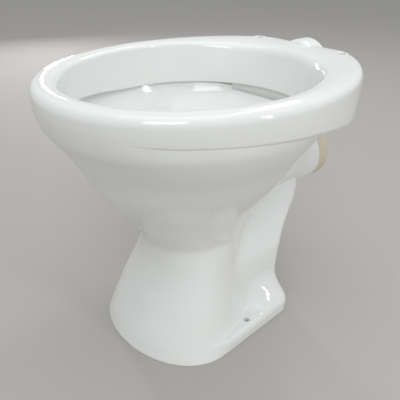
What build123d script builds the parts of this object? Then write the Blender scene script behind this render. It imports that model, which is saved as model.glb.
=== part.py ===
from build123d import *
import os

# Washdown pan in glazed vitreous china, in millimetres.
# X = 0 is the plane of symmetry, -Y the front, +Z up and z = 0 the floor.
# Positions along the pan are distances back from the front of the rim.

# Overall sizes
overall_length = 484.0
rim_height = 390.0
rim_length = 456.0
rim_width = 362.0
rim_widest_at = 227.0

# Walls
wall = 10.0
top_wall = 11.0
lip_wall = 7.0

# Opening in the rim and the lip that hangs round it
opening_front = 34.0
opening_rear = 391.0
opening_width = 300.0
opening_widest_at = 215.0
lip_depth = 62.0
lip_lean = 14.0
rim_top_radius = 8.0
lip_top_radius = 4.0
deck_corner_radius = 24.0
rear_fullness = 19.0

# Lower edge of the rim band: distance back, depth below the top of the rim
band_edge = [
    (-20.0, 33.0),
    (128.0, 40.0),
    (228.0, 47.0),
    (300.0, 57.0),
    (390.0, 77.0),
    (480.0, 95.0),
]
band_edge_radius = 6.0
band_depth = 120.0

# Seat deck behind the opening
deck_joint_at = 345.0
seat_hole_spacing = 155.0
seat_hole_radius = 7.5
seat_hole_at = 429.0
seat_boss_radius = 16.0

# Flush inlet
inlet_bore_radius = 27.5
inlet_outer_radius = 38.0
inlet_centre_depth = 31.0
inlet_front_at = 432.0
inlet_rear_at = 460.0

# Outside of the bowl: share of the height from the waist to the rim, front, rear, width
waist_height = 160.0
bowl_outside = [
    (0.9, 3.0, 432.0, 356.0),
    (0.8, 7.0, 426.0, 350.0),
    (0.72, 19.0, 404.0, 334.0),
    (0.565, 43.0, 380.0, 292.0),
    (0.37, 66.0, 355.0, 240.0),
    (0.175, 100.0, 323.0, 184.0),
    (0.0, 125.0, 292.0, 166.0),
]

# Inside of the bowl: the same shares, front, rear, width
bowl_inside = [
    (0.9, 13.0, 422.0, 336.0),
    (0.8, 17.0, 415.0, 330.0),
    (0.72, 28.0, 392.0, 316.0),
    (0.565, 55.0, 352.0, 274.0),
    (0.37, 80.0, 294.0, 218.0),
    (0.175, 113.0, 246.0, 158.0),
    (0.0, 143.0, 236.0, 112.0),
]

# Trap: a U bend under the bowl and an elbow over the weir
trap_bore_radius = 37.0
trap_outer_radius = 46.0
trap_inlet_at = 199.0
trap_bend_radius = 47.0
trap_bend_height = 122.0
trap_elbow_radius = 50.0
outlet_height = 206.0
funnel_wall = 9.0

# Outlet spigot
outlet_radius = 51.0
outlet_bore_radius = 40.0
outlet_joint_at = 404.0
outlet_flare_end = 432.0
outlet_edge = 3.0

# Foot flange
foot_front = 76.0
foot_rear = 331.0
foot_widest_at = 161.0
foot_width = 234.0
foot_rear_width = 231.0
foot_corner_radius = 28.0
foot_thickness = 22.0
foot_edge_radius = 5.0
floor_hole_spacing = 206.0
floor_hole_at = 230.0
floor_hole_radius = 4.5

# Stand between the foot and the bowl: level, front, shoulder, shoulder width, leg width, rear
stand_outside = [
    (
        foot_thickness,
        foot_front + foot_edge_radius,
        foot_widest_at,
        foot_width - 2 * foot_edge_radius,
        160.0,
        foot_rear - foot_edge_radius,
    ),
    (60.0, 98.0, 165.0, 206.0, 156.0, 337.0),
    (110.0, 121.0, 172.0, 180.0, 155.0, 345.0),
    (waist_height, 122.0, 190.0, 172.0, 148.0, 353.0),
    (outlet_height - 21.0, 132.0, 205.0, 150.0, 116.0, 372.0),
    (outlet_height, 142.0, 220.0, 120.0, 84.0, 398.0),
]
panel_hollow = 12.0
front_pull = 0.25
side_pull = 0.7
leg_corner_radius = 14.0
stand_joint_at = 262.0
back_opening_width = 96.0
back_opening_height = 112.0


def back(distance):
    """Y of a point that lies this far back from the front of the rim."""
    return distance - overall_length / 2


def bowl_rows(rows):
    """Level faces of a bowl's table, each at its share of the height from waist to rim."""
    bowl_height = rim_height - waist_height
    return [oval(waist_height + share * bowl_height, *sizes) for share, *sizes in rows]


def oval(level, front, rear, width, widest_at=None):
    """Level face of two half ellipses that share their widest line."""
    widest = (front + rear) / 2 if widest_at is None else widest_at
    with BuildSketch(Plane.XY.offset(level), mode=Mode.PRIVATE) as shape:
        with BuildLine():
            EllipticalCenterArc(
                (0, back(widest)), width / 2, widest - front, start_angle=180, arc_size=180
            )
            EllipticalCenterArc(
                (0, back(widest)), width / 2, rear - widest, start_angle=0, arc_size=180
            )
        make_face()
    return shape.sketch


def stand_section(level, front, shoulder, shoulder_width, leg_width, rear, inset=0.0):
    """Level face of the stand: round front, drawn-in sides and a squared leg behind."""
    half_front = shoulder_width / 2 - inset
    half_leg = leg_width / 2 - inset
    leg_back = back(rear) - inset
    side_length = leg_back - back(shoulder)
    with BuildSketch(Plane.XY.offset(level), mode=Mode.PRIVATE) as shape:
        with BuildLine():
            EllipticalCenterArc(
                (0, back(shoulder)),
                half_front,
                shoulder - front - inset,
                start_angle=180,
                arc_size=180,
            )
            for side in (1, -1):
                Bezier(
                    (side * half_front, back(shoulder)),
                    (side * half_front, back(shoulder) + front_pull * side_length),
                    (side * (half_leg - panel_hollow), leg_back - side_pull * side_length),
                    (side * half_leg, leg_back),
                )
            Line((half_leg, leg_back), (-half_leg, leg_back))
        make_face()
        fillet(shape.vertices().group_by(Axis.Y)[-1], leg_corner_radius - inset / 2)
    return shape.sketch


def rim_outline(level, inset=0.0):
    """Level face of the rim: an oval whose back is cut straight across the deck."""
    full_rear = rim_length + rear_fullness
    with BuildSketch(Plane.XY.offset(level), mode=Mode.PRIVATE) as shape:
        add(oval(0, inset, full_rear - inset, rim_width - 2 * inset, rim_widest_at))
        with Locations((0, back(rim_length - inset))):
            Rectangle(
                rim_width, rim_length, align=(Align.CENTER, Align.MIN), mode=Mode.SUBTRACT
            )
        corners = shape.vertices().group_by(Axis.Y)[-1]
        fillet(corners, deck_corner_radius - inset)
    return shape.sketch


def above_band(raise_by=0.0):
    """Solid that fills everything above the lower edge of the rim band."""
    points = [(back(at), rim_height - depth + raise_by) for at, depth in band_edge]
    with BuildPart(mode=Mode.PRIVATE) as zone:
        with BuildSketch(Plane.YZ) as profile:
            with BuildLine():
                edge = Spline(*points)
                Polyline(
                    edge @ 1,
                    (points[-1][0], rim_height + band_depth),
                    (points[0][0], rim_height + band_depth),
                    edge @ 0,
                )
            make_face()
        extrude(amount=rim_width, both=True)
    return zone.part


os.makedirs("parts", exist_ok=True)

# Levels that hang from the top of the rim
band_base = rim_height - band_depth
lip_level = rim_height - lip_depth
inlet_level = rim_height - inlet_centre_depth

# Shared bodies that the pieces are cut from and by
with BuildPart(mode=Mode.PRIVATE) as bowl_body:
    loft(sections=bowl_rows(bowl_outside))

with BuildPart(mode=Mode.PRIVATE) as bowl_well:
    loft(sections=bowl_rows(bowl_inside))

well_front, well_rear, well_width = bowl_inside[-1][1:]
riser_at = trap_inlet_at + 2 * trap_bend_radius
elbow_start = outlet_height - trap_elbow_radius


def waterway(radius, funnel_inset, funnel_top, end_at):
    """Round passage from the bowl's foot, under the dip, over the weir and out at the back."""
    dip = (0, back(trap_inlet_at + trap_bend_radius), trap_bend_height)
    weir = (0, back(riser_at + trap_elbow_radius), elbow_start)
    with BuildPart(mode=Mode.PRIVATE) as passage:
        with BuildSketch(Plane.XY.offset(trap_bend_height)):
            with Locations((0, back(trap_inlet_at))):
                Circle(radius)
        revolve(axis=Axis(dip, (1, 0, 0)), revolution_arc=180)
        with BuildSketch(Plane.XY.offset(trap_bend_height)) as riser:
            with Locations((0, back(riser_at))):
                Circle(radius)
        extrude(riser.sketch, amount=elbow_start - trap_bend_height)
        with BuildSketch(Plane.XY.offset(elbow_start)) as bend:
            with Locations((0, back(riser_at))):
                Circle(radius)
        revolve(bend.sketch, axis=Axis(weir, (-1, 0, 0)), revolution_arc=90)
        with BuildSketch(Plane.XZ.offset(-back(end_at))) as end:
            with Locations((0, outlet_height)):
                Circle(radius)
        extrude(end.sketch, amount=end_at - riser_at - trap_elbow_radius)
        loft(
            sections=[
                oval(
                    funnel_top,
                    well_front - funnel_inset,
                    well_rear + funnel_inset,
                    well_width + 2 * funnel_inset,
                ),
                oval(
                    trap_bend_height,
                    trap_inlet_at - radius,
                    trap_inlet_at + radius,
                    2 * radius,
                ),
            ]
        )
    return passage.part


trap_body = waterway(trap_outer_radius, funnel_wall, waist_height, outlet_joint_at)
trap_bore = waterway(trap_bore_radius, 0, waist_height, outlet_joint_at)

with BuildPart(mode=Mode.PRIVATE) as inlet_body:
    with BuildSketch(Plane.XZ.offset(-back(inlet_rear_at))):
        with Locations((0, inlet_level)):
            Circle(inlet_outer_radius)
    extrude(amount=inlet_rear_at - inlet_front_at)

above_band_edge = above_band()

# Gallery inside the rim, which carries the flush round the bowl
with BuildPart(mode=Mode.PRIVATE) as gallery:
    add(rim_outline(band_base, wall))
    extrude(amount=rim_height - top_wall - band_base)
    add(above_band(wall), mode=Mode.INTERSECT)

# The lip's inner and outer faces, which lean forward a little at the back
lip_foot = oval(lip_level, opening_front, opening_rear - lip_lean, opening_width, opening_widest_at)
mouth_face = oval(rim_height, opening_front, opening_rear, opening_width, opening_widest_at)
lip_foot_outside = oval(
    lip_level,
    opening_front - lip_wall,
    opening_rear - lip_lean + lip_wall,
    opening_width + 2 * lip_wall,
    opening_widest_at,
)
lip_head_outside = oval(
    rim_height - lip_top_radius,
    opening_front - lip_wall,
    opening_rear + lip_wall,
    opening_width + 2 * lip_wall,
    opening_widest_at,
)

# Rim and deck together: a band open underneath, with a lip hanging round the opening
with BuildPart(mode=Mode.PRIVATE) as rim_body:
    add(rim_outline(band_base))
    extrude(amount=rim_height - band_base)
    fillet(rim_body.faces().sort_by(Axis.Z)[-1].outer_wire().edges(), rim_top_radius)
    add(above_band_edge, mode=Mode.INTERSECT)
    add(gallery.part, mode=Mode.SUBTRACT)
    add(bowl_well.part, mode=Mode.SUBTRACT)
    loft(sections=[lip_foot_outside, lip_head_outside])
    loft(sections=[lip_foot, mouth_face], mode=Mode.SUBTRACT)
    mouth_edge = rim_body.faces().sort_by(Axis.Z)[-1].inner_wires()[0].edges()
    fillet(mouth_edge, lip_top_radius)

with BuildPart() as rim_ring:
    add(rim_body.part)
    split(bisect_by=Plane.XZ.offset(-back(deck_joint_at)), keep=Keep.TOP)
    band_edges = rim_ring.edges().filter_by(GeomType.BSPLINE)
    band_edges = band_edges.filter_by_position(Axis.Z, band_base, rim_height - band_edge[0][1])
    fillet(band_edges.sort_by(lambda edge: edge.bounding_box().size.X)[-2:], band_edge_radius)
rim_ring.part.label = "rim_ring"
export_step(rim_ring.part, "parts/rim_ring.step")

# Columns through the deck box, one round each seat hole
with BuildPart(mode=Mode.PRIVATE) as seat_columns:
    with BuildSketch(Plane.XY.offset(rim_height - top_wall)):
        with Locations((0, back(seat_hole_at))):
            with GridLocations(seat_hole_spacing, 0, 2, 1):
                Circle(seat_boss_radius)
    extrude(amount=band_base - rim_height)
    add(above_band_edge, mode=Mode.INTERSECT)

with BuildPart() as seat_deck:
    add(rim_body.part)
    split(bisect_by=Plane.XZ.offset(-back(deck_joint_at)), keep=Keep.BOTTOM)
    deck_edges = seat_deck.edges().filter_by(GeomType.BSPLINE)
    deck_edges = deck_edges.filter_by_position(Axis.Z, band_base, lip_level)
    fillet(deck_edges.sort_by(lambda edge: edge.bounding_box().size.Y)[-2:], band_edge_radius)
    add(seat_columns.part)
    with Locations((0, back(seat_hole_at), rim_height)):
        with GridLocations(seat_hole_spacing, 0, 2, 1):
            Hole(seat_hole_radius)
    add(inlet_body.part, mode=Mode.SUBTRACT)
seat_deck.part.label = "seat_deck"
export_step(seat_deck.part, "parts/seat_deck.step")

with BuildPart() as flush_inlet:
    add(inlet_body.part)
    with BuildSketch(Plane.XZ.offset(-back(inlet_rear_at))):
        with Locations((0, inlet_level)):
            Circle(inlet_bore_radius)
    extrude(amount=inlet_rear_at - inlet_front_at, mode=Mode.SUBTRACT)
flush_inlet.part.label = "flush_inlet"
export_step(flush_inlet.part, "parts/flush_inlet.step")

with BuildPart() as bowl:
    add(bowl_body.part)
    add(bowl_well.part, mode=Mode.SUBTRACT)
    add(above_band_edge, mode=Mode.SUBTRACT)
    add(trap_body, mode=Mode.SUBTRACT)
bowl.part.label = "bowl"
export_step(bowl.part, "parts/bowl.step")

with BuildPart() as trap:
    add(trap_body)
    add(trap_bore, mode=Mode.SUBTRACT)
trap.part.label = "trap"
export_step(trap.part, "parts/trap.step")

with BuildPart() as outlet_spigot:
    with BuildSketch(Plane.XZ.offset(-back(outlet_joint_at))):
        with Locations((0, outlet_height)):
            Circle(trap_outer_radius)
    with BuildSketch(Plane.XZ.offset(-back(outlet_flare_end))):
        with Locations((0, outlet_height)):
            Circle(outlet_radius)
    loft()
    with BuildSketch(Plane.XZ.offset(-back(overall_length))) as outlet_end:
        with Locations((0, outlet_height)):
            Circle(outlet_radius)
    extrude(outlet_end.sketch, amount=overall_length - outlet_flare_end)
    chamfer(outlet_spigot.edges().group_by(Axis.Y)[-1], outlet_edge)
    with BuildSketch(Plane.XZ.offset(-back(overall_length))) as outlet_bore:
        with Locations((0, outlet_height)):
            Circle(outlet_bore_radius)
    extrude(outlet_bore.sketch, amount=overall_length - outlet_joint_at, mode=Mode.SUBTRACT)
outlet_spigot.part.label = "outlet_spigot"
export_step(outlet_spigot.part, "parts/outlet_spigot.step")

# Stand: a hollow shell, closed at the back by the leg that carries the trap
with BuildPart(mode=Mode.PRIVATE) as stand_body:
    loft(sections=[stand_section(*row) for row in stand_outside])
    loft(sections=[stand_section(*row, inset=wall) for row in stand_outside], mode=Mode.SUBTRACT)

with BuildPart() as pedestal:
    add(stand_body.part)
    split(bisect_by=Plane.XZ.offset(-back(stand_joint_at)), keep=Keep.TOP)
    add(bowl_body.part, mode=Mode.SUBTRACT)
    add(trap_body, mode=Mode.SUBTRACT)
pedestal.part.label = "pedestal"
export_step(pedestal.part, "parts/pedestal.step")

with BuildPart() as rear_leg:
    add(stand_body.part)
    split(bisect_by=Plane.XZ.offset(-back(stand_joint_at)), keep=Keep.BOTTOM)
    add(bowl_body.part, mode=Mode.SUBTRACT)
    add(trap_body, mode=Mode.SUBTRACT)
    with BuildSketch(Plane.XZ.offset(-back(overall_length))):
        with Locations((0, foot_thickness)):
            SlotOverall(2 * back_opening_height, back_opening_width, rotation=90)
    extrude(amount=overall_length - foot_rear + 3 * wall, mode=Mode.SUBTRACT)
rear_leg.part.label = "rear_leg"
export_step(rear_leg.part, "parts/rear_leg.step")

with BuildPart() as foot_flange:
    with BuildSketch() as sole:
        with BuildLine():
            EllipticalCenterArc(
                (0, back(foot_widest_at)),
                foot_width / 2,
                foot_widest_at - foot_front,
                start_angle=180,
                arc_size=180,
            )
            Polyline(
                (foot_width / 2, back(foot_widest_at)),
                (foot_rear_width / 2, back(foot_rear)),
                (-foot_rear_width / 2, back(foot_rear)),
                (-foot_width / 2, back(foot_widest_at)),
            )
        make_face()
        fillet(sole.vertices().group_by(Axis.Y)[-1], foot_corner_radius)
    extrude(amount=foot_thickness)
    fillet(foot_flange.faces().sort_by(Axis.Z)[-1].outer_wire().edges(), foot_edge_radius)
    extrude(stand_section(*stand_outside[0], inset=wall), amount=-foot_thickness, mode=Mode.SUBTRACT)
    with Locations((0, back(floor_hole_at), foot_thickness)):
        with GridLocations(floor_hole_spacing, 0, 2, 1):
            Hole(floor_hole_radius)
foot_flange.part.label = "foot_flange"
export_step(foot_flange.part, "parts/foot_flange.step")
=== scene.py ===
import math

import bpy
import numpy as np
from mathutils import Matrix, Vector


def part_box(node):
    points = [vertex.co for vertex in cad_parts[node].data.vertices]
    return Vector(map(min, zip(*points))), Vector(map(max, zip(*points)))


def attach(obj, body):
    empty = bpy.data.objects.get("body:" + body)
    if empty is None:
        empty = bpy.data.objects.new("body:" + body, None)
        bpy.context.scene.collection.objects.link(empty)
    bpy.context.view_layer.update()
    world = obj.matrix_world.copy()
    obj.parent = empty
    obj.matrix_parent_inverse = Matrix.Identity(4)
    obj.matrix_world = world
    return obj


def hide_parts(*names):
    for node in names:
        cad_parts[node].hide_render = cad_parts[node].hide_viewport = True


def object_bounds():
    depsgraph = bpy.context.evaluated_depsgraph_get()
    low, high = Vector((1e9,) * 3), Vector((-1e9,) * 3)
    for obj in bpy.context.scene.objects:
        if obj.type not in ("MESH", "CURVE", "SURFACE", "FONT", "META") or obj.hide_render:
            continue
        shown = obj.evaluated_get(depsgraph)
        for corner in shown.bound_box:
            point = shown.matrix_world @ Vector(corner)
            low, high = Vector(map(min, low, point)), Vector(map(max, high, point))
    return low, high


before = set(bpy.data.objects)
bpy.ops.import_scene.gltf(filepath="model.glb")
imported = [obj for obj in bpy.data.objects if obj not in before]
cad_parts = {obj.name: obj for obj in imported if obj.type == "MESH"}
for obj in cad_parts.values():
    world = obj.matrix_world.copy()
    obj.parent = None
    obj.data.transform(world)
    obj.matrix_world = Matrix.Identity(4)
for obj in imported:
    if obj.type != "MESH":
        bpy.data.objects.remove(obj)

# The imported part's box, which gives the front of the rim and the end of the spigot
cad_box = [list(map(float, corner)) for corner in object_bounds()]

# Sizes below are in millimetres; a mesh is written in metres
MM = 0.001
RIM_FRONT = cad_box[0][1] / MM
SPIGOT_END = cad_box[1][1] / MM
RIM_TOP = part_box("rim_ring")[1][2] / MM
RIM_HALF_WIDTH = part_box("rim_ring")[1][0] / MM
DECK_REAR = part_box("seat_deck")[1][1] / MM - RIM_FRONT
HORN_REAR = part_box("flush_inlet")[1][1] / MM - RIM_FRONT

# Columns round the pan, from the front (0) by the right-hand side to the rear (half a turn)
COLUMNS = 320
TURN = np.linspace(0.0, 2.0 * np.pi, COLUMNS, endpoint=False)
REAR_COLUMN = COLUMNS // 2
POLE = 215.0

# Walls and edges
WALL = 10.0
RIM_EDGE = 10.0
RIM_EDGE_DROP = 12.0
LIP_EDGE = 6.0
BAND_EDGE = 7.0

# Rim outline and opening, as distances back from the front of the rim
RIM_WIDEST = 227.0
RIM_FULL_REAR = 475.0
DECK_CORNER = 12.0
OPENING = dict(front=34.0, rear=391.0, width=300.0, widest=215.0)
LIP_LEAN = 14.0
LIP_WALL = 7.0
LIP_BOTTOM = 326.0
LIP_FRONT_RAISED = 10.0
RIM_CROWN = 1.2

# Lower edge of the rim band: distance back and level
BAND_AT = [-20.0, 128.0, 228.0, 300.0, 390.0, 480.0]
BAND_LEVEL = [357.0, 350.0, 343.0, 333.0, 313.0, 295.0]

# Outside of the bowl: level, front, rear, width
BOWL_OUTSIDE = np.array([
    (90.0, 200.0, 230.0, 30.0),
    (120.0, 165.0, 255.0, 84.0),
    (140.0, 145.0, 272.0, 118.0),
    (160.0, 130.0, 287.0, 144.0),
    (180.0, 116.0, 302.0, 162.0),
    (202.0, 101.0, 320.0, 186.0),
    (230.0, 77.0, 342.0, 220.0),
    (258.0, 58.0, 354.0, 254.0),
    (290.0, 41.0, 371.0, 290.0),
    (325.0, 19.0, 394.0, 334.0),
    (344.0, 7.0, 414.0, 350.0),
    (366.0, 3.0, 430.0, 356.0),
])

# Inside of the bowl down to the neck of the trap: level, front, rear, width
BOWL_INSIDE = np.array([
    (122.0, 162.0, 236.0, 74.0),
    (140.0, 153.0, 236.0, 92.0),
    (160.0, 143.0, 236.0, 112.0),
    (200.0, 113.0, 246.0, 158.0),
    (245.0, 80.0, 294.0, 218.0),
    (290.0, 56.0, 356.0, 276.0),
    (315.0, 34.0, 382.0, 308.0),
    (325.0, 28.0, 386.0, 316.0),
    (344.0, 17.0, 405.0, 330.0),
    (366.0, 12.0, 420.0, 336.0),
])

# Column under the bowl: level, front, where it is widest, rear, width
COLUMN = np.array([
    (0.0, 78.0, 161.0, 272.0, 232.0),
    (22.0, 86.0, 162.0, 268.0, 214.0),
    (65.0, 107.0, 166.0, 268.0, 187.0),
    (100.0, 123.0, 176.0, 272.0, 166.0),
    (125.0, 131.0, 188.0, 276.0, 154.0),
    (150.0, 134.0, 202.0, 280.0, 142.0),
    (170.0, 142.0, 207.0, 278.0, 120.0),
    (190.0, 150.0, 208.0, 270.0, 100.0),
    (220.0, 160.0, 210.0, 260.0, 90.0),
    (300.0, 200.0, 210.0, 220.0, 20.0),
])

# Leg behind the column: level, front, its middle, width beside the column, width at the rear, rear
LEG = np.array([
    (0.0, 175.0, 215.0, 160.0, 160.0, 328.0),
    (22.0, 175.0, 215.0, 160.0, 160.0, 328.0),
    (65.0, 175.0, 215.0, 150.0, 160.0, 333.0),
    (100.0, 175.0, 215.0, 136.0, 157.0, 340.0),
    (120.0, 175.0, 215.0, 118.0, 142.0, 356.0),
    (140.0, 175.0, 215.0, 102.0, 124.0, 380.0),
    (158.0, 175.0, 215.0, 90.0, 108.0, 403.0),
    (173.0, 175.0, 215.0, 80.0, 94.0, 416.0),
    (190.0, 175.0, 215.0, 70.0, 76.0, 424.0),
    (206.0, 175.0, 215.0, 70.0, 76.0, 410.0),
    (224.0, 180.0, 215.0, 60.0, 60.0, 345.0),
    (245.0, 190.0, 215.0, 40.0, 40.0, 290.0),
    (300.0, 200.0, 215.0, 20.0, 20.0, 250.0),
])
LEG_CORNER = 14.0
VALLEY = 13.0

# Foot
FOOT = dict(front=78.0, rear=331.0, widest=161.0, width=234.0, rear_width=231.0, corner=28.0)
FOOT_LEVEL = 22.0
FOOT_UPRIGHT = 11.0
FOOT_SLOPE_TOP = 68.0
FOOT_EDGE = 5.5
SOLE_EDGE = 1.5

# Holes
SEAT_HOLE = dict(x=77.5, at=429.0, radius=7.5)
FLOOR_HOLE = dict(x=103.0, at=230.0, radius=4.5)
ARCH = dict(half_width=44.0, bottom=34.0, top=130.0)

# Waterway
TRAP_INLET = 199.0
TRAP_BEND = 47.0
TRAP_BEND_LEVEL = 122.0
TRAP_ELBOW = 50.0
TRAP_OUTER = 46.0
TRAP_BORE = 37.0
OUTLET_LEVEL = 206.0
OUTLET_RADIUS = 51.0
OUTLET_BORE = 40.0
OUTLET_JOINT = 404.0
OUTLET_FLARE_END = 430.0
OUTLET_EDGE = 3.0
UNGLAZED_BAND = 24.0

# Flush horn
HORN_LEVEL = 359.0
HORN_RADIUS = 37.98
HORN_BORE = 27.5
HORN_FRONT = 432.0
HORN_EDGE = 3.0


def back(distance):
    """Y in millimetres of a point this far back from the front of the rim."""
    return distance + RIM_FRONT


def ramp(x, low, high):
    """Smooth step: 0 below low, 1 above high, with a cubic ease between."""
    t = np.clip((x - low) / (high - low), 0.0, 1.0)
    return t * t * (3.0 - 2.0 * t)


def through(table, level):
    """Smooth rows at any level: cubic Hermite curves through the table's rows, with limited slopes."""
    at, rows = table[:, 0], table[:, 1:]
    gap = np.diff(at)[:, None]
    rise = np.diff(rows, axis=0) / gap
    slope = np.empty_like(rows)
    slope[0], slope[-1] = rise[0], rise[-1]
    before, after = rise[:-1], rise[1:]
    same_way = before * after > 0
    total = np.where(same_way, before + after, 1.0)
    slope[1:-1] = np.where(same_way, 2.0 * before * after / total, 0.0)
    level = np.clip(level, at[0], at[-1])
    k = np.clip(np.searchsorted(at, level) - 1, 0, len(at) - 2)
    h = (at[k + 1] - at[k])[:, None]
    t = (level - at[k])[:, None] / h
    return (
        (1 + 2 * t) * (1 - t) ** 2 * rows[k]
        + t * (1 - t) ** 2 * h * slope[k]
        + t * t * (3 - 2 * t) * rows[k + 1]
        + t * t * (t - 1) * h * slope[k + 1]
    )


def reach(x, y, pole):
    """Distance from the pole to a closed outline along every column: the outline read by its angle."""
    angle = np.arctan2(x, -(y - pole))
    order = np.argsort(angle)
    distance = np.hypot(x, y - pole)
    return np.interp(TURN, angle[order], distance[order], period=2.0 * np.pi)


def oval(front, rear, width, widest=None, points=1440):
    """Outline of two half ellipses that share their widest line."""
    middle = (front + rear) / 2 if widest is None else widest
    t = np.linspace(0.0, 2.0 * np.pi, points, endpoint=False)
    depth = np.where(np.cos(t) > 0, middle - front, rear - middle)
    return width / 2 * np.sin(t), back(middle) - depth * np.cos(t)


def leg_outline(front, middle, front_width, rear_width, rear):
    """Half ellipse in front, eased sides (smooth step from one width to the other), round corners."""
    t = np.linspace(0.0, np.pi / 2, 240)
    front_x = front_width / 2 * np.sin(t)
    front_y = middle - (middle - front) * np.cos(t)
    corner = min(LEG_CORNER, rear_width / 2 - 2.0)
    s = np.linspace(0.0, 1.0, 240)[1:]
    side_x = front_width / 2 + (rear_width - front_width) / 2 * ramp(s, 0.0, 1.0)
    side_y = middle + (rear - corner - middle) * s
    c = np.linspace(0.0, np.pi / 2, 60)[1:]
    corner_x = rear_width / 2 - corner * (1 - np.cos(c))
    corner_y = rear - corner + corner * np.sin(c)
    rear_x = np.linspace(rear_width / 2 - corner, 0.0, 120)[1:]
    x = np.concatenate([front_x, side_x, corner_x, rear_x])
    y = np.concatenate([front_y, side_y, corner_y, np.full(rear_x.shape, rear)])
    return np.concatenate([x, -x[-2:0:-1]]), back(np.concatenate([y, y[-2:0:-1]]))


def foot_outline():
    """Half ellipse in front, straight sides and a rear edge with round corners."""
    t = np.linspace(0.0, np.pi / 2, 360)
    x = FOOT["width"] / 2 * np.sin(t)
    y = FOOT["widest"] - (FOOT["widest"] - FOOT["front"]) * np.cos(t)
    corner = FOOT["corner"]
    s = np.linspace(0.0, 1.0, 300)[1:]
    side_x = FOOT["width"] / 2 + (FOOT["rear_width"] - FOOT["width"]) / 2 * s
    side_y = FOOT["widest"] + (FOOT["rear"] - corner - FOOT["widest"]) * s
    c = np.linspace(0.0, np.pi / 2, 90)[1:]
    corner_x = FOOT["rear_width"] / 2 - corner * (1 - np.cos(c))
    corner_y = FOOT["rear"] - corner + corner * np.sin(c)
    rear_x = np.linspace(FOOT["rear_width"] / 2 - corner, 0.0, 120)[1:]
    x = np.concatenate([x, side_x, corner_x, rear_x])
    y = np.concatenate([y, side_y, corner_y, np.full(rear_x.shape, FOOT["rear"])])
    return np.concatenate([x, -x[-2:0:-1]]), back(np.concatenate([y, y[-2:0:-1]]))


def rim_outline():
    """Oval whose rear is cut straight across, each corner an arc that is tangent to both."""
    r = DECK_CORNER
    semi_x, semi_y = RIM_HALF_WIDTH, RIM_FULL_REAR - RIM_WIDEST
    t = np.linspace(0.02, np.pi / 2, 4000)
    ex, ey = semi_x * np.sin(t), RIM_WIDEST + semi_y * np.cos(t)
    nx, ny = np.sin(t) / semi_x, np.cos(t) / semi_y
    size = np.hypot(nx, ny)
    cx, cy = ex - r * nx / size, ey - r * ny / size
    k = np.argmin(np.abs(cy - (DECK_REAR - r)))
    a = np.linspace(np.arctan2(ny[k], nx[k]), np.pi / 2, 120)
    arc_x, arc_y = cx[k] + r * np.cos(a), back(cy[k] + r * np.sin(a))
    front = np.linspace(0.0, np.pi / 2, 1500)
    front_x, front_y = semi_x * np.sin(front), back(RIM_WIDEST - RIM_WIDEST * np.cos(front))
    flat_x = np.linspace(cx[k], 0.0, 200)[1:]
    x = np.concatenate([front_x, ex[k:][::-1][1:], arc_x, flat_x])
    y = np.concatenate([front_y, back(ey[k:][::-1][1:]), arc_y, np.full(flat_x.shape, back(DECK_REAR))])
    return np.concatenate([x, -x[-2:0:-1]]), np.concatenate([y, y[-2:0:-1]])


class Fine:
    """Table of a surface's reach for every column at evenly spaced levels, read between its rows."""

    def __init__(self, low, high, rows, outline):
        self.low, self.step = low, (high - low) / (rows - 1)
        self.rows = rows
        levels = np.linspace(low, high, rows)
        self.table = np.array([reach(*outline(level), back(POLE)) for level in levels])

    def at(self, level, column=None):
        """Reach at a level of each column: straight-line reading between the two nearest rows."""
        place = np.clip((level - self.low) / self.step, 0.0, self.rows - 1.001)
        row = place.astype(int)
        part = place - row
        columns = np.broadcast_to(np.arange(COLUMNS), place.shape) if column is None else column
        low_column = np.floor(columns).astype(int) % COLUMNS
        high_column = (low_column + 1) % COLUMNS
        side = columns - np.floor(columns)
        lower = self.table[row, low_column] * (1 - side) + self.table[row, high_column] * side
        upper = self.table[row + 1, low_column] * (1 - side) + self.table[row + 1, high_column] * side
        return lower * (1 - part) + upper * part


def placed(distance, level, pole=None):
    """Points of rows and columns: out from the pole along each column's direction, at a level."""
    middle = back(POLE) if pole is None else pole
    x = distance * np.sin(TURN)
    y = middle - distance * np.cos(TURN)
    return np.stack([x, y + 0 * x, level + 0 * x], axis=-1)


def grid_quads(rows, columns, windows=()):
    """Quads of a grid closed both ways, leaving the windows (row, row, column, column) open."""
    r = np.arange(rows)[:, None]
    c = np.arange(columns)[None, :]
    r2, c2 = (r + 1) % rows, (c + 1) % columns
    quads = np.stack(np.broadcast_arrays(
        r * columns + c, r * columns + c2, r2 * columns + c2, r2 * columns + c), axis=-1)
    keep = np.ones((rows, columns), bool)
    for first, last, left, right in windows:
        keep[first:last, left:right] = False
    return quads[keep]


def window_loop(window, columns):
    """Grid points round a window, in the same turning direction as the grid's quads."""
    first, last, left, right = window
    across, down = np.arange(left, right), np.arange(first, last)
    loop = np.concatenate([
        first * columns + across,
        down * columns + right,
        last * columns + np.arange(right, left, -1),
        np.arange(last, first, -1) * columns + left,
    ])
    return loop


def ring_quads(outer, inner):
    """Quads between two closed loops with equally many points."""
    return np.stack([outer, np.roll(outer, -1), np.roll(inner, -1), inner], axis=-1)


def through_hole(points, window_a, window_b, columns, rings):
    """Tube of rings from one window of a grid to another: new points and the quads that join them."""
    loop_a = window_loop(window_a, columns)
    loop_b = window_loop(window_b, columns)[::-1]
    start = points[loop_a]
    count = len(loop_a)
    here, there = start - start.mean(axis=0), points[loop_b] - points[loop_b].mean(axis=0)
    every_turn = (np.arange(count)[:, None] + np.arange(count)) % count
    turn = ((there[every_turn] - here) ** 2).sum(axis=(1, 2)).argmin()
    loop_b = np.roll(loop_b, -turn)
    base = len(points)
    new_points = rings(start, points[loop_b])
    loops = [loop_a]
    for k in range(len(new_points)):
        loops.append(base + k * count + np.arange(count))
    loops.append(loop_b)
    quads = np.concatenate([ring_quads(a, b) for a, b in zip(loops[:-1], loops[1:])])
    return np.concatenate([points, np.concatenate(new_points)]), quads


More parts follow.
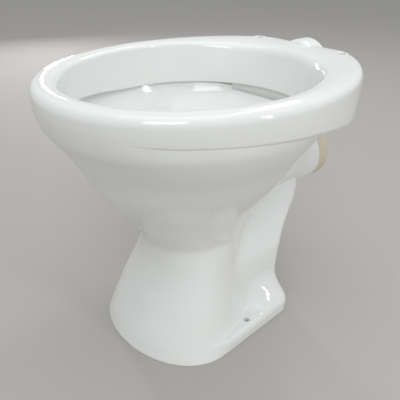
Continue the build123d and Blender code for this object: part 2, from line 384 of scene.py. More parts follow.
def round_hole_rings(x, at, radius, edge, plane, bottom):
    """Rings of a vertical round hole: out of a square window, over a soft edge and down the wall."""
    centre = np.array([x, back(at)])

    def rings(start, finish):
        away = start[:, :2] - centre
        spoke = away / np.linalg.norm(away, axis=1, keepdims=True)

        def circle(size, level):
            return np.column_stack([centre + size * spoke, np.broadcast_to(level, len(start))])

        def between(one, other, share):
            return one * (1 - share) + other * share

        mouth = circle(radius + edge + 1.0, plane)
        made = [between(start, mouth, ramp(share, 0.0, 1.0)) for share in (0.3, 0.5, 0.7)] + [mouth]
        for a in np.linspace(0.0, np.pi / 2, 5):
            made.append(circle(radius + edge * (1 - np.sin(a)), plane - edge * (1 - np.cos(a))))
        for share in (0.25, 0.5, 0.75, 1.0):
            made.append(circle(radius, (plane - edge) * (1 - share) + bottom * share))
        made.append(between(made[-1], finish, 0.5))
        return made

    return rings


def rear_skin(x, level, inset):
    """Y of the rear wall at a place across and a level: the reach round the pole, followed in turns."""
    depth = np.full(x.shape, 120.0)
    for _ in range(8):
        column = COLUMNS / 2 - np.arctan2(x, depth) / (2 * np.pi) * COLUMNS
        far = stand_and_bowl(level, column) - inset
        depth = np.sqrt(np.maximum(far ** 2 - x ** 2, 1.0))
    return back(POLE) + depth


def arch_rings(start, finish):
    """Rings of the arched opening: a square window bent to straight sides under a half circle."""
    half = ARCH["half_width"]
    spring = ARCH["top"] - half
    order = np.argsort(start[:, 2])
    widest = np.interp(
        start[:, 2], *np.array([(z, np.abs(start[np.abs(start[:, 2] - z) < 2.5, 0]).max())
                                for z in np.linspace(start[order[0], 2], start[order[-1], 2], 24)]).T)
    u = np.clip(start[:, 0] / widest, -1.0, 1.0)
    above = start[:, 2] > spring
    v = np.where(above, (start[:, 2] - spring) / (start[:, 2].max() - spring),
                 (start[:, 2] - spring) / (spring - start[:, 2].min()))

    def bent(ring, share):
        mixed = start * (1 - share) + ring * share
        return np.column_stack([mixed[:, 0], rear_skin(mixed[:, 0], mixed[:, 2], 0.0), mixed[:, 2]])

    def arch(grow, inset):
        squeeze = np.where(above, 0.5, 0.12)
        height = np.where(above, half + grow, spring - ARCH["bottom"] + grow)
        x = (half + grow) * u * np.sqrt(1 - squeeze * v ** 2)
        z = spring + height * v * np.sqrt(1 - squeeze * u ** 2)
        return np.column_stack([x, rear_skin(x, z, inset), z])

    edge = 2.0
    mouth, far = arch(edge, 0.0), arch(edge, WALL - 1.5)
    made = [bent(mouth, 0.35), bent(mouth, 0.7)]
    made += [arch(edge * (1 - np.sin(a)), edge * (1 - np.cos(a))) for a in np.linspace(0, np.pi / 2, 6)]
    made += [arch(0.0, 0.6 * WALL), arch(edge / 3, WALL - 2.0), far, far * 0.4 + finish * 0.6]
    return made


def china_piece(name, points, quads, nodes, material, slot="glazed"):
    """Mesh piece in metres from millimetre points, smooth, facing outwards, standing for its nodes."""
    corner = points[quads[:, 0]]
    one, two, three = points[quads[:, 1]], points[quads[:, 2]], points[quads[:, 3]]
    volume = np.einsum("ij,ij->i", corner, np.cross(one, two) + np.cross(two, three)).sum()
    if volume < 0:
        quads = quads[:, ::-1]
    used = np.unique(quads)
    order = np.zeros(len(points), int)
    order[used] = np.arange(len(used))
    points, quads = points[used], order[quads]
    mesh = bpy.data.meshes.new(name)
    mesh.vertices.add(len(points))
    mesh.vertices.foreach_set("co", (points * MM).astype(np.float32).ravel())
    mesh.loops.add(quads.size)
    mesh.loops.foreach_set("vertex_index", quads.astype(np.int32).ravel())
    mesh.polygons.add(len(quads))
    mesh.polygons.foreach_set("loop_start", np.arange(0, quads.size, 4, dtype=np.int32))
    mesh.polygons.foreach_set("use_smooth", np.ones(len(quads), bool))
    mesh.update(calc_edges=True)
    mesh.validate()
    mesh.materials.append(material)
    piece = bpy.data.objects.new(name, mesh)
    bpy.context.scene.collection.objects.link(piece)
    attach(piece, "root")
    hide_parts(*nodes)
    return piece


def socket(shader, **values):
    """Sets a shader's own inputs by name, with underscores for spaces."""
    for key, value in values.items():
        shader.inputs[key.replace("_", " ")].default_value = value


def glazed_china(name, unglazed_from=None, unglazed_below=None):
    """White glaze: colour drifts a little over a hand's width, with soft ripples.

    Past the glaze line the bare body shows instead: cream, matt and faintly grainy.
    """
    material = bpy.data.materials.new(name)
    material.use_nodes = True
    tree = material.node_tree
    tree.nodes.clear()
    add = tree.nodes.new
    link = tree.links.new
    output = add("ShaderNodeOutputMaterial")
    shader = add("ShaderNodeBsdfPrincipled")
    link(shader.outputs["BSDF"], output.inputs["Surface"])
    socket(shader, IOR=1.53, Specular_IOR_Level=0.55)
    place = add("ShaderNodeTexCoord")

    drift = add("ShaderNodeTexNoise")
    socket(drift, Scale=5.0, Detail=3.0, Roughness=0.55)
    link(place.outputs["Object"], drift.inputs["Vector"])
    glaze_colour = add("ShaderNodeValToRGB")
    glaze_colour.color_ramp.elements[0].position = 0.3
    glaze_colour.color_ramp.elements[0].color = (0.81, 0.83, 0.81, 1.0)
    glaze_colour.color_ramp.elements[1].position = 0.7
    glaze_colour.color_ramp.elements[1].color = (0.855, 0.87, 0.855, 1.0)
    link(drift.outputs["Fac"], glaze_colour.inputs["Fac"])

    gloss = add("ShaderNodeTexNoise")
    socket(gloss, Scale=14.0, Detail=4.0)
    link(place.outputs["Object"], gloss.inputs["Vector"])
    gloss_range = add("ShaderNodeMapRange")
    socket(gloss_range, From_Min=0.3, From_Max=0.7, To_Min=0.07, To_Max=0.13)
    link(gloss.outputs["Fac"], gloss_range.inputs["Value"])

    ripple = add("ShaderNodeTexNoise")
    socket(ripple, Scale=22.0, Detail=1.5, Roughness=0.4)
    link(place.outputs["Object"], ripple.inputs["Vector"])
    ripple_bump = add("ShaderNodeBump")
    socket(ripple_bump, Strength=0.12, Distance=0.002)
    link(ripple.outputs["Fac"], ripple_bump.inputs["Height"])
    link(ripple_bump.outputs["Normal"], shader.inputs["Normal"])
    colour, rough = glaze_colour.outputs["Color"], gloss_range.outputs["Result"]

    if unglazed_from is not None or unglazed_below is not None:
        axes = add("ShaderNodeSeparateXYZ")
        link(place.outputs["Object"], axes.inputs["Vector"])
        wander = add("ShaderNodeTexNoise")
        socket(wander, Scale=18.0, Detail=2.0)
        link(place.outputs["Object"], wander.inputs["Vector"])
        shift = add("ShaderNodeMath")
        shift.operation = "MULTIPLY_ADD"
        link(wander.outputs["Fac"], shift.inputs[0])
        shift.inputs[1].default_value = 0.004
        link(axes.outputs["Y" if unglazed_from is not None else "Z"], shift.inputs[2])
        bare = add("ShaderNodeMapRange")
        line = unglazed_from if unglazed_from is not None else unglazed_below
        near, far = line + 0.0015, line + 0.0025
        socket(bare, From_Min=near, From_Max=far)
        if unglazed_from is None:
            socket(bare, To_Min=1.0, To_Max=0.0)
        link(shift.outputs["Value"], bare.inputs["Value"])
        grain = add("ShaderNodeTexNoise")
        socket(grain, Scale=260.0, Detail=5.0)
        link(place.outputs["Object"], grain.inputs["Vector"])
        body_colour = add("ShaderNodeValToRGB")
        body_colour.color_ramp.elements[0].color = (0.58, 0.52, 0.39, 1.0)
        body_colour.color_ramp.elements[1].color = (0.70, 0.65, 0.52, 1.0)
        link(grain.outputs["Fac"], body_colour.inputs["Fac"])
        mix_colour = add("ShaderNodeMix")
        mix_colour.data_type = "RGBA"
        link(bare.outputs["Result"], mix_colour.inputs["Factor"])
        link(colour, mix_colour.inputs["A"])
        link(body_colour.outputs["Color"], mix_colour.inputs["B"])
        colour = mix_colour.outputs["Result"]
        mix_rough = add("ShaderNodeMapRange")
        link(bare.outputs["Result"], mix_rough.inputs["Value"])
        link(rough, mix_rough.inputs["To Min"])
        mix_rough.inputs["To Max"].default_value = 0.8
        rough = mix_rough.outputs["Result"]
    link(colour, shader.inputs["Base Color"])
    link(rough, shader.inputs["Roughness"])
    return material


def band_level(distance):
    """Level of the rim band's lower edge this far back: a smooth curve through the named points."""
    table = np.column_stack([BAND_AT, BAND_LEVEL])
    return through(table, np.ravel(distance))[:, 0].reshape(np.shape(distance))


RIM_REACH = reach(*rim_outline(), back(POLE))
FOOT_REACH = reach(*foot_outline(), back(POLE))
STAND = Fine(0.0, 300.0, 301, lambda level: leg_outline(*through(LEG, np.array([level]))[0]))
COLUMN_SKIN = Fine(0.0, 300.0, 301, lambda level: oval(*through(COLUMN, np.array([level]))[0][[0, 2, 3, 1]]))
spread = COLUMN_SKIN.table - STAND.table
STAND.table = 0.5 * (COLUMN_SKIN.table + STAND.table + np.sqrt(spread ** 2 + VALLEY ** 2)) - 0.1 * VALLEY
BOWL = Fine(90.0, 366.0, 277, lambda level: oval(*through(BOWL_OUTSIDE, np.array([level]))[0]))


def stand_and_bowl(level, column=None):
    """Reach of stand and bowl together: the larger of the two, eased over a few millimetres."""
    stand, bowl = STAND.at(level, column), BOWL.at(level, column)
    ease = 9.0 * ramp(level, 60.0, 120.0) + 0.01
    return 0.5 * (stand + bowl + np.sqrt((stand - bowl) ** 2 + ease ** 2)) - 0.15 * ease


ASIDE = np.abs(np.pi - np.abs(np.pi - TURN))
FRONTNESS = 1 - ramp(ASIDE, math.radians(24), math.radians(46))
FOOT_SHARE = ramp(ASIDE, math.radians(55), math.radians(75))


def front_skin(level, outer, band):
    """Reach of rim and bowl where the band fades out in front: one ease from the rim in to the bowl."""
    share = ramp(level, band - 16.0, RIM_TOP - 14.0)
    return BOWL.at(level + 0 * outer) * (1 - share) + outer * share


def pan_body():
    """Foot, stand and bowl as one closed skin.

    Every column runs up the outside from the sole and over the foot (the reach eases from the foot's
    outline to the stand's: a round edge, a ledge and a hollow curve at the sides, one soft slope at the
    rear corners, nothing in front), up the stand and the bowl to the rim, then down the inside of the
    bowl to the neck of the trap, back out under the bowl and down the hollow of the stand to the sole.
    The arch and the floor holes join the outer and the inner wall.
    """
    def foot_skin(level, share):
        share = share * FOOT_SHARE
        return STAND.at(level + 0 * FOOT_REACH) * (1 - share) + FOOT_REACH * share

    rows = []
    turn = np.linspace(0.0, np.pi / 2, 5)[:, None]
    level = SOLE_EDGE * (1 - np.cos(turn))
    rows.append(placed(foot_skin(level, 1.0) - SOLE_EDGE * (1 - np.sin(turn)), level))
    level = np.linspace(SOLE_EDGE, FOOT_UPRIGHT, 5)[1:, None]
    rows.append(placed(foot_skin(level, 1.0), level))
    slope_row = sum(len(block) for block in rows)
    aside = 1 - ramp(ASIDE, math.radians(106), math.radians(132))
    climb = np.linspace(0.0, 1.0, 46)[1:, None]
    corner_level = FOOT_UPRIGHT + (FOOT_SLOPE_TOP - FOOT_UPRIGHT) * climb
    corner_share = 1 - ramp(corner_level, FOOT_UPRIGHT + 3.0, FOOT_SLOPE_TOP)
    ledge = np.maximum(FOOT_REACH - STAND.at(np.full(COLUMNS, FOOT_LEVEL)), 0.5)
    edge = np.minimum(FOOT_EDGE, 0.3 * ledge) / ledge
    over = np.clip(climb / 0.2, 0.0, 1.0) * np.pi / 2
    flat = np.clip((climb - 0.2) / 0.4, 0.0, 1.0)
    cove = np.clip((climb - 0.6) / 0.4, 0.0, 1.0) * np.pi / 2
    side_level = FOOT_UPRIGHT + (FOOT_LEVEL - FOOT_UPRIGHT) * np.sin(over)
    side_level = side_level + (FOOT_SLOPE_TOP - FOOT_LEVEL) * (1 - np.cos(cove))
    side_share = 1 - edge * (1 - np.cos(over)) - (0.75 - edge) * flat - 0.25 * np.sin(cove)
    level = corner_level * (1 - aside) + side_level * aside
    rows.append(placed(foot_skin(level, corner_share * (1 - aside) + side_share * aside), level))

    # Outside of the stand and the bowl; in front it swells to meet the rim
    band = band_level(back(POLE) - RIM_REACH * np.cos(TURN) - RIM_FRONT)
    top_reach = BOWL.at(np.full(COLUMNS, 340.0))
    top_level = band_level(back(POLE) - top_reach * np.cos(TURN) - RIM_FRONT) + 5.0 + 12.0 * FRONTNESS
    climb = np.linspace(0.0, 1.0, 73)[1:, None]
    level = FOOT_SLOPE_TOP + (top_level - FOOT_SLOPE_TOP) * climb
    skin = stand_and_bowl(level)
    swell = front_skin(level, RIM_REACH, band) - 0.2 - skin
    swell = np.maximum(swell, 0.0) * ramp(level, band - 60.0, band - 16.0)
    rows.append(placed(skin + swell * FRONTNESS, level))

    # Inside of the bowl, down to the neck
    inner_top = top_level + 4.0
    fall = np.linspace(0.0, 1.0, 52)[:, None]
    neck = BOWL_INSIDE[0, 0]
    inner_level = inner_top + (neck - inner_top) * fall
    shape = through(BOWL_INSIDE, inner_level.ravel()).reshape(inner_level.shape + (3,))
    middle, depth = (shape[..., 0] + shape[..., 1]) / 2, (shape[..., 1] - shape[..., 0]) / 2
    x = shape[..., 2] / 2 * np.sin(TURN)
    y = back(middle) - depth * np.cos(TURN)
    rows.append(np.stack([x, y, inner_level], axis=-1))

    # Under the bowl: round the neck, up the funnel's outside and out to the stand's wall
    roof = 148.0
    hollow = np.maximum(STAND.at(np.full(COLUMNS, roof)) - WALL, 5.0)
    funnel = [(39.0, 120.0, 199.0), (43.0, 121.0, 199.0), (47.0, 124.0, 198.0), (52.0, 134.0, 196.0)]
    for distance, level, middle_at in funnel:
        rows.append(placed(np.full((1, COLUMNS), distance), level, back(middle_at)))
    spread = np.linspace(0.0, 1.0, 12)[1:, None]
    out_from = placed(np.full(COLUMNS, 56.0), roof - 2.0, back(194.0))
    out_to = placed(hollow, np.full(COLUMNS, roof))
    rows.append(out_from + (out_to - out_from) * spread[..., None])

    # Inside wall of the stand, down to the sole, and the sole
    drop = np.linspace(0.0, 1.0, 68)[1:, None]
    hollow_level = roof * (1 - drop)
    hollow_reach = STAND.at(np.maximum(hollow_level, FOOT_LEVEL) + 0 * FOOT_REACH) - WALL
    hollow_row = sum(len(block) for block in rows)
    rows.append(placed(hollow_reach, hollow_level + 0 * FOOT_REACH))
    across = np.linspace(0.0, 1.0, 30)[1:-1, None]
    sole_row = sum(len(block) for block in rows)
    sole_reach = hollow_reach[-1] * (1 - across) + (foot_skin(0.0, 1.0) - SOLE_EDGE) * across
    rows.append(placed(sole_reach, 0 * sole_reach))

    points = np.concatenate(rows)
    count = len(points)
    flat = points.reshape(-1, 3)

    # The arch: from the rear of the outer wall to the rear of the hollow's wall
    first = np.abs(points[:200, REAR_COLUMN, 2] - ARCH["bottom"] + 5.0).argmin()
    last = first + np.abs(points[first:first + 90, REAR_COLUMN, 2] - ARCH["top"] - 3.0).argmin()
    low = hollow_row + np.abs(points[hollow_row:sole_row, REAR_COLUMN, 2] - ARCH["bottom"] + 7.0).argmin()
    outside = (first, last, REAR_COLUMN - 20, REAR_COLUMN + 20)
    inside = (low - (last - first), low, REAR_COLUMN - 20, REAR_COLUMN + 20)
    flat, quads = through_hole(flat, outside, inside, COLUMNS, arch_rings)
    windows, parts = [outside, inside], [quads]

    # Two floor holes through the foot's ledge
    angle = math.atan2(FLOOR_HOLE["x"], POLE - FLOOR_HOLE["at"])
    for side in (1, -1):
        centre = round(side * angle / (2 * np.pi) * COLUMNS) % COLUMNS
        middle = np.array([side * FLOOR_HOLE["x"], back(FLOOR_HOLE["at"])])
        top_at = np.linalg.norm(points[slope_row:slope_row + 45, centre, :2] - middle, axis=1).argmin()
        low_at = np.linalg.norm(points[sole_row:sole_row + 28, centre, :2] - middle, axis=1).argmin()
        top_mid, low_mid = slope_row + top_at, sole_row + min(max(low_at, 9), 18)
        above = (top_mid - 9, top_mid + 9, centre - 5, centre + 5)
        below = (low_mid - 9, low_mid + 9, centre - 5, centre + 5)
        rings = round_hole_rings(
            side * FLOOR_HOLE["x"], FLOOR_HOLE["at"], FLOOR_HOLE["radius"], 1.0, FOOT_LEVEL, 0.0)
        flat, quads = through_hole(flat, above, below, COLUMNS, rings)
        windows += [above, below]
        parts.append(quads)

    return flat, np.concatenate([grid_quads(count, COLUMNS, windows)] + parts)


def rim_body():
    """Rim and seat deck as one closed band.

    Every column runs up the lip's inner face, over its round edge, across the crowned top, over the
    outer edge, down the band, under its round lower edge, in to the bowl and up the lip's outer face.
    The edges grow rounder towards the deck, and the top swells a little over the flush horn.
    """
    lean = OPENING["rear"] - LIP_LEAN
    foot_of_lip = reach(*oval(OPENING["front"], lean, OPENING["width"], OPENING["widest"]), back(POLE))
    mouth = reach(
        *oval(OPENING["front"], OPENING["rear"], OPENING["width"], OPENING["widest"]), back(POLE))
    outer = RIM_REACH
    edge_at = POLE - outer * np.cos(TURN)
    mouth_at = POLE - mouth * np.cos(TURN)
    band = band_level(edge_at)
    aft = ramp(edge_at, 310.0, 440.0)
    lip_edge = LIP_EDGE + 7.0 * ramp(mouth_at, 290.0, 385.0) + 5.0 * (1 - ramp(mouth_at, 36.0, 120.0))
    lip_bottom = LIP_BOTTOM + LIP_FRONT_RAISED * (1 - ramp(mouth_at, 90.0, 230.0))
    top = RIM_TOP - RIM_CROWN
    rows = []

    def lip_face(level):
        share = (level - LIP_BOTTOM) / (RIM_TOP - LIP_BOTTOM)
        return foot_of_lip + (mouth - foot_of_lip) * share

    # Lip's foot and inner face
    turn = np.linspace(-np.pi / 2, 0.0, 6)[:, None]
    foot_edge = LIP_WALL / 2
    level = lip_bottom + foot_edge * (1 + np.sin(turn))
    rows.append(placed(lip_face(level) + foot_edge * (1 - np.cos(turn)), level))
    rise = np.linspace(0.0, 1.0, 26)[1:, None]
    level = lip_bottom + foot_edge + (top - lip_edge - lip_bottom - foot_edge) * rise
    rows.append(placed(lip_face(level), level))
    turn = np.linspace(0.0, np.pi / 2, 13)[1:, None]
    level = top - lip_edge + lip_edge * np.sin(turn)
    rows.append(placed(lip_face(level) + lip_edge * (1 - np.cos(turn)), level))

    # Crowned top
    across = np.linspace(0.0, 1.0, 27)[1:-1, None]
    inner_edge, outer_edge = mouth + lip_edge, outer - RIM_EDGE
    top_row = sum(len(block) for block in rows)
    rows.append(placed(inner_edge + (outer_edge - inner_edge) * across, RIM_TOP - RIM_CROWN * (2 * across - 1) ** 2))

    # Outer edge and band; in front the band eases in to the bowl
    turn = np.linspace(0.0, np.pi / 2, 15)[:, None]
    level = top - RIM_EDGE_DROP * (1 - np.cos(turn))
    rows.append(placed(outer_edge + RIM_EDGE * np.sin(turn), level))
    low_up = BAND_EDGE + 25.0 * aft
    low_in = BAND_EDGE + 7.0 * aft
    down = np.linspace(0.0, 1.0, 22)[1:, None]
    level = top - RIM_EDGE_DROP + (band + low_up - top + RIM_EDGE_DROP) * down
    face = outer - (1.2 + 2.0 * aft) * down ** 2
    sunk = front_skin(level, outer, band) - 0.4 * (1 - ramp(level, band + 2.0, band + 14.0))
    face = face + (np.minimum(sunk, outer) - face) * FRONTNESS
    rows.append(placed(face, level))

    # Round lower edge and underside, which follows the band's slope in to the bowl
    turn = np.linspace(0.0, np.pi / 2, 12)[1:, None]
    level = band + low_up * (1 - np.sin(turn))
    rows.append(placed(face[-1] - low_in * (1 - np.cos(turn)), level))
    start = face[-1] - low_in
    near_bowl = band_level(POLE - BOWL.at(np.full(COLUMNS, 330.0)) * np.cos(TURN))
    meet = np.minimum(BOWL.at(near_bowl) - 5.0, start - 3.0)
    across = np.linspace(0.0, 1.0, 27)[1:, None]
    under_row = sum(len(block) for block in rows)
    under = start + (meet - start) * across
    level = band_level(POLE - under * np.cos(TURN)) - (band_level(POLE - start * np.cos(TURN)) - band)
    rows.append(placed(under, level))
    roof = RIM_TOP - 14.0
    level = np.maximum(level[-1] + 8.0, 336.0)
    rows.append(placed(np.maximum(meet - 1.0, lip_face(level) + LIP_WALL + 3.0)[None, :], level[None, :]))
    rows.append(placed((lip_face(roof) + LIP_WALL + 4.0)[None, :], np.full((1, COLUMNS), roof - 6.0)))
    fall = np.linspace(0.0, 1.0, 12)[:, None]
    level = roof - 8.0 + (lip_bottom + foot_edge - roof + 8.0) * fall
    rows.append(placed(lip_face(level) + LIP_WALL, level))
    turn = np.linspace(0.0, np.pi / 2, 6)[1:-1, None]
    level = lip_bottom + foot_edge * (1 - np.sin(turn))
    rows.append(placed(lip_face(level) + LIP_WALL - foot_edge * (1 - np.cos(turn)), level))

    points = np.concatenate(rows)
    distance = points[..., 1] - RIM_FRONT
    hump = (1 - ramp(np.abs(points[..., 0]), 4.0, 31.0)) * ramp(distance, 424.0, 449.0)
    points[..., 2] += 6.0 * hump * ramp(points[..., 2], RIM_TOP - 30.0, RIM_TOP - 4.0)
    count = len(points)
    flat = points.reshape(-1, 3)
    windows, parts = [], []

    # Two seat holes down through the deck
    angle = math.atan2(SEAT_HOLE["x"], POLE - SEAT_HOLE["at"])
    for side in (1, -1):
        centre = round(side * angle / (2 * np.pi) * COLUMNS) % COLUMNS
        middle = np.array([side * SEAT_HOLE["x"], back(SEAT_HOLE["at"])])
        top_at = np.linalg.norm(points[top_row:top_row + 25, centre, :2] - middle, axis=1).argmin()
        low_at = np.linalg.norm(points[under_row:under_row + 26, centre, :2] - middle, axis=1).argmin()
        top_mid = top_row + min(max(top_at, 5), 19)
        low_mid = under_row + min(max(low_at, 5), 20)
        above = (top_mid - 5, top_mid + 5, centre - 4, centre + 4)
        below = (low_mid - 5, low_mid + 5, centre - 4, centre + 4)
        low_level = float(points[low_mid, centre, 2])
        rings = round_hole_rings(
            side * SEAT_HOLE["x"], SEAT_HOLE["at"], SEAT_HOLE["radius"], 1.4, RIM_TOP, low_level)
        flat, quads = through_hole(flat, above, below, COLUMNS, rings)
        windows += [above, below]
        parts.append(quads)

    return flat, np.concatenate([grid_quads(count, COLUMNS, windows)] + parts)


def tube_along(centres, tangents, radii_outside, inner_centres, inner_tangents, radii_inside, sides=96):
    """Thick tube in the middle plane: circles square to the path, out along the outside, back inside."""
    turn = np.linspace(0.0, 2 * np.pi, sides, endpoint=False)

    def rings(middle, ahead, radius):
        up = np.stack([np.zeros(len(ahead)), -ahead[:, 1], ahead[:, 0]], axis=-1)
        across = np.array([1.0, 0.0, 0.0])
        centre = np.stack([np.zeros(len(middle)), middle[:, 0], middle[:, 1]], axis=-1)
        spoke = across * np.cos(turn)[:, None] + 0
        return (
            centre[:, None, :]
            + radius[:, None, None] * (spoke[None] + up[:, None, :] * np.sin(turn)[None, :, None])
        )

    outside = rings(centres, tangents, radii_outside)
    inside = rings(inner_centres, inner_tangents, radii_inside)[::-1]
    points = np.concatenate([outside, inside])
    return points.reshape(-1, 3), grid_quads(len(points), sides)


def trap_tube():
    """Tube of the trap: down from the neck, half a turn under the dip, up, over the weir and back."""
    inlet, bend, low = back(TRAP_INLET), TRAP_BEND, TRAP_BEND_LEVEL
    riser = inlet + 2 * bend
    elbow_level = OUTLET_LEVEL - TRAP_ELBOW
    a = np.linspace(np.pi, 2 * np.pi, 49)
    u_bend = np.column_stack([inlet + bend + bend * np.cos(a), low + bend * np.sin(a)])
    u_ahead = np.column_stack([-np.sin(a), np.cos(a)])
    rise = np.linspace(low, elbow_level, 8)[1:-1]
    straight = np.column_stack([np.full(6, riser), rise])
    a = np.linspace(np.pi, np.pi / 2, 30)
    elbow = np.column_stack([riser + TRAP_ELBOW + TRAP_ELBOW * np.cos(a), elbow_level + TRAP_ELBOW * np.sin(a)])
    e_ahead = np.column_stack([np.sin(a), -np.cos(a)])
    run = np.append(np.linspace(riser + TRAP_ELBOW, back(OUTLET_JOINT) + 0.3, 11)[1:], back(OUTLET_JOINT) + 0.5)
    level_run = np.column_stack([run, np.full(11, OUTLET_LEVEL)])
    neck = np.array([[inlet, low + 3.0]])
    path = np.concatenate([neck, u_bend, straight, elbow, level_run])
    ahead = np.concatenate([
        [[0.0, -1.0]], u_ahead, np.tile([0.0, 1.0], (6, 1)), e_ahead, np.tile([1.0, 0.0], (11, 1))])
    return tube_along(
        path, ahead, np.full(len(path), TRAP_OUTER), path, ahead, np.full(len(path), TRAP_BORE))


def level_tube(distance, radius_outside, inner_distance, radius_inside, level):
    """Thick level tube: circles round a line straight back, with a radius for each distance."""
    outer = np.column_stack([back(distance), np.full(len(distance), level)])
    inner = np.column_stack([back(inner_distance), np.full(len(inner_distance), level)])
    ahead = np.tile([1.0, 0.0], (len(distance), 1))
    inner_ahead = np.tile([1.0, 0.0], (len(inner_distance), 1))
    return tube_along(outer, ahead, radius_outside, inner, inner_ahead, radius_inside, 160)


def outlet_spigot():
    """Spigot: flared root, straight barrel and a softly rounded end."""
    end = SPIGOT_END - RIM_FRONT
    flare = np.append(OUTLET_JOINT - 0.5, np.linspace(OUTLET_JOINT - 0.3, OUTLET_FLARE_END, 16))
    growth = ramp(flare, OUTLET_JOINT, OUTLET_FLARE_END)
    barrel = np.linspace(OUTLET_FLARE_END, end - OUTLET_EDGE, 14)[1:]
    turn = np.linspace(0.0, np.pi / 2, 8)[1:]
    distance = np.concatenate([flare, barrel, end - OUTLET_EDGE + OUTLET_EDGE * np.sin(turn)])
    radius = np.concatenate([
        TRAP_OUTER + (OUTLET_RADIUS - TRAP_OUTER) * growth,
        np.full(len(barrel), OUTLET_RADIUS),
        OUTLET_RADIUS - OUTLET_EDGE * (1 - np.cos(turn)),
    ])
    inner = np.concatenate([
        np.linspace(OUTLET_JOINT - 0.5, end - OUTLET_EDGE, 24),
        end - OUTLET_EDGE + OUTLET_EDGE * np.sin(turn),
    ])
    bore = np.concatenate([np.full(24, OUTLET_BORE), OUTLET_BORE + OUTLET_EDGE * (1 - np.cos(turn))])
    bore[0] = TRAP_BORE
    return level_tube(distance, radius, inner, bore, OUTLET_LEVEL)


def flush_horn():
    """Flush horn: swells out of the deck's rear, with a rounded mouth."""
    end = HORN_REAR
    swell = np.linspace(HORN_FRONT - 6.0, HORN_FRONT + 6.0, 12)
    rise = np.sqrt(np.clip(1 - ((HORN_FRONT + 6.0 - swell) / 12.0) ** 2, 0.0, 1.0))
    barrel = np.linspace(HORN_FRONT + 6.0, end - HORN_EDGE, 8)[1:]
    turn = np.linspace(0.0, np.pi / 2, 8)[1:]
    distance = np.concatenate([swell, barrel, end - HORN_EDGE + HORN_EDGE * np.sin(turn)])
    radius = np.concatenate([
        HORN_RADIUS - 9.0 + 9.0 * rise,
        np.full(len(barrel), HORN_RADIUS),
        HORN_RADIUS - HORN_EDGE * (1 - np.cos(turn)),
    ])
    inner = np.concatenate([
        np.linspace(HORN_FRONT - 6.0, end - HORN_EDGE, 12),
        end - HORN_EDGE + HORN_EDGE * np.sin(turn),
    ])
    bore = np.concatenate([np.full(12, HORN_BORE), HORN_BORE + HORN_EDGE * (1 - np.cos(turn))])
    return level_tube(distance, radius, inner, bore, HORN_LEVEL)


# Camera: close in front of the left-hand side and above, where the photograph was taken from
CAMERA_TURN = math.radians(45.489)
CAMERA_HEIGHT = math.radians(29.204)
CAMERA_ROLL = math.radians(1.390)
CAMERA_DISTANCE = 720.0
CAMERA_AIM = (0.0, 224.8 + RIM_FRONT, 190.387)
LENS_RATIO = 483.5 / 400.0


def place_camera():
    """Camera on a sphere round the aim point, looking in, rolled a little, with the photo's lens."""
    outward = Vector((
        math.sin(CAMERA_TURN) * math.cos(CAMERA_HEIGHT),
        -math.cos(CAMERA_TURN) * math.cos(CAMERA_HEIGHT),
        math.sin(CAMERA_HEIGHT),
    ))
    right = Vector((math.cos(CAMERA_TURN), math.sin(CAMERA_TURN), 0.0))
    up = outward.cross(right)
    rolled_right = right * math.cos(CAMERA_ROLL) + up * math.sin(CAMERA_ROLL)
    rolled_up = up * math.cos(CAMERA_ROLL) - right * math.sin(CAMERA_ROLL)
    place = (Vector(CAMERA_AIM) + outward * CAMERA_DISTANCE) * MM
    data = bpy.data.cameras.new("camera")
    data.sensor_width = 36.0
    data.lens = 36.0 * LENS_RATIO
    data.clip_start = 0.01
    camera = bpy.data.objects.new("camera", data)
    turn = Matrix((rolled_right, rolled_up, outward)).transposed().to_4x4()
    camera.matrix_world = Matrix.Translation(place) @ turn
    bpy.context.scene.collection.objects.link(camera)
    bpy.context.scene.camera = camera


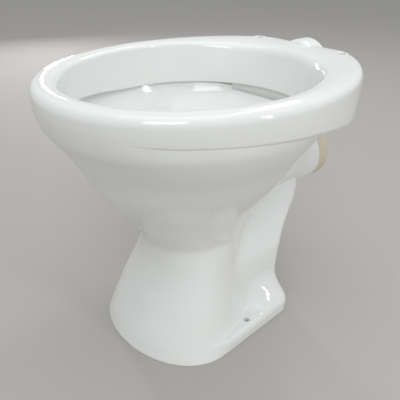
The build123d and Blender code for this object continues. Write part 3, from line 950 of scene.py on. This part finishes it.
def softbox(name, place, target, width, height, power, colour=(1.0, 1.0, 1.0)):
    """Rectangular lamp at a place, turned to face a target."""
    data = bpy.data.lights.new(name, "AREA")
    data.shape = "RECTANGLE"
    data.size, data.size_y = width, height
    data.energy = power
    data.color = colour
    lamp = bpy.data.objects.new(name, data)
    direction = Vector(target) - Vector(place)
    lamp.matrix_world = Matrix.Translation(place) @ direction.to_track_quat("-Z", "Y").to_matrix().to_4x4()
    bpy.context.scene.collection.objects.link(lamp)


def studio():
    """Pale floor, an even pale surround and four soft lamps."""
    half = 6.0
    mesh = bpy.data.meshes.new("floor")
    mesh.from_pydata([(-half, -half, 0), (half, -half, 0), (half, half, 0), (-half, half, 0)], [], [(0, 1, 2, 3)])
    floor = bpy.data.objects.new("floor", mesh)
    bpy.context.scene.collection.objects.link(floor)
    material = bpy.data.materials.new("pale_floor")
    material.use_nodes = True
    socket(material.node_tree.nodes["Principled BSDF"], Base_Color=(0.45, 0.435, 0.415, 1.0), Roughness=0.8)
    mesh.materials.append(material)

    world = bpy.data.worlds.new("surround")
    bpy.context.scene.world = world
    world.use_nodes = True
    background = world.node_tree.nodes["Background"]
    background.inputs["Color"].default_value = (0.97, 0.985, 1.0, 1.0)
    background.inputs["Strength"].default_value = 0.56

    aim = (0.0, 0.0, 0.25)
    softbox("overhead", (0.1, -0.1, 2.6), aim, 2.0, 2.0, 13.0)
    softbox("key", (1.5, -1.5, 2.1), aim, 1.2, 1.2, 19.0)
    softbox("left_window", (-2.0, 0.75, 0.8), aim, 0.2, 0.6, 8.0, (1.0, 0.96, 0.98))
    softbox("right_window", (1.9, 0.55, 1.1), aim, 0.16, 0.7, 6.0)
    softbox("rear_strip", (-0.45, 1.5, 2.1), aim, 0.2, 0.9, 6.0)


place_camera()
studio()
bpy.context.scene.view_settings.view_transform = "Standard"

china = glazed_china("glazed_china")
foot_china = glazed_china("foot_china", unglazed_below=0.0)
spigot_china = glazed_china("spigot_china", unglazed_from=(SPIGOT_END - UNGLAZED_BAND) * MM - 0.004)

china_piece("pan_body", *pan_body(), ("bowl", "pedestal", "rear_leg", "foot_flange"), foot_china)
china_piece("rim_body", *rim_body(), ("rim_ring", "seat_deck"), china)
china_piece("trap_tube", *trap_tube(), ("trap",), china)
china_piece("outlet_barrel", *outlet_spigot(), ("outlet_spigot",), spigot_china)
china_piece("flush_horn", *flush_horn(), ("flush_inlet",), china)
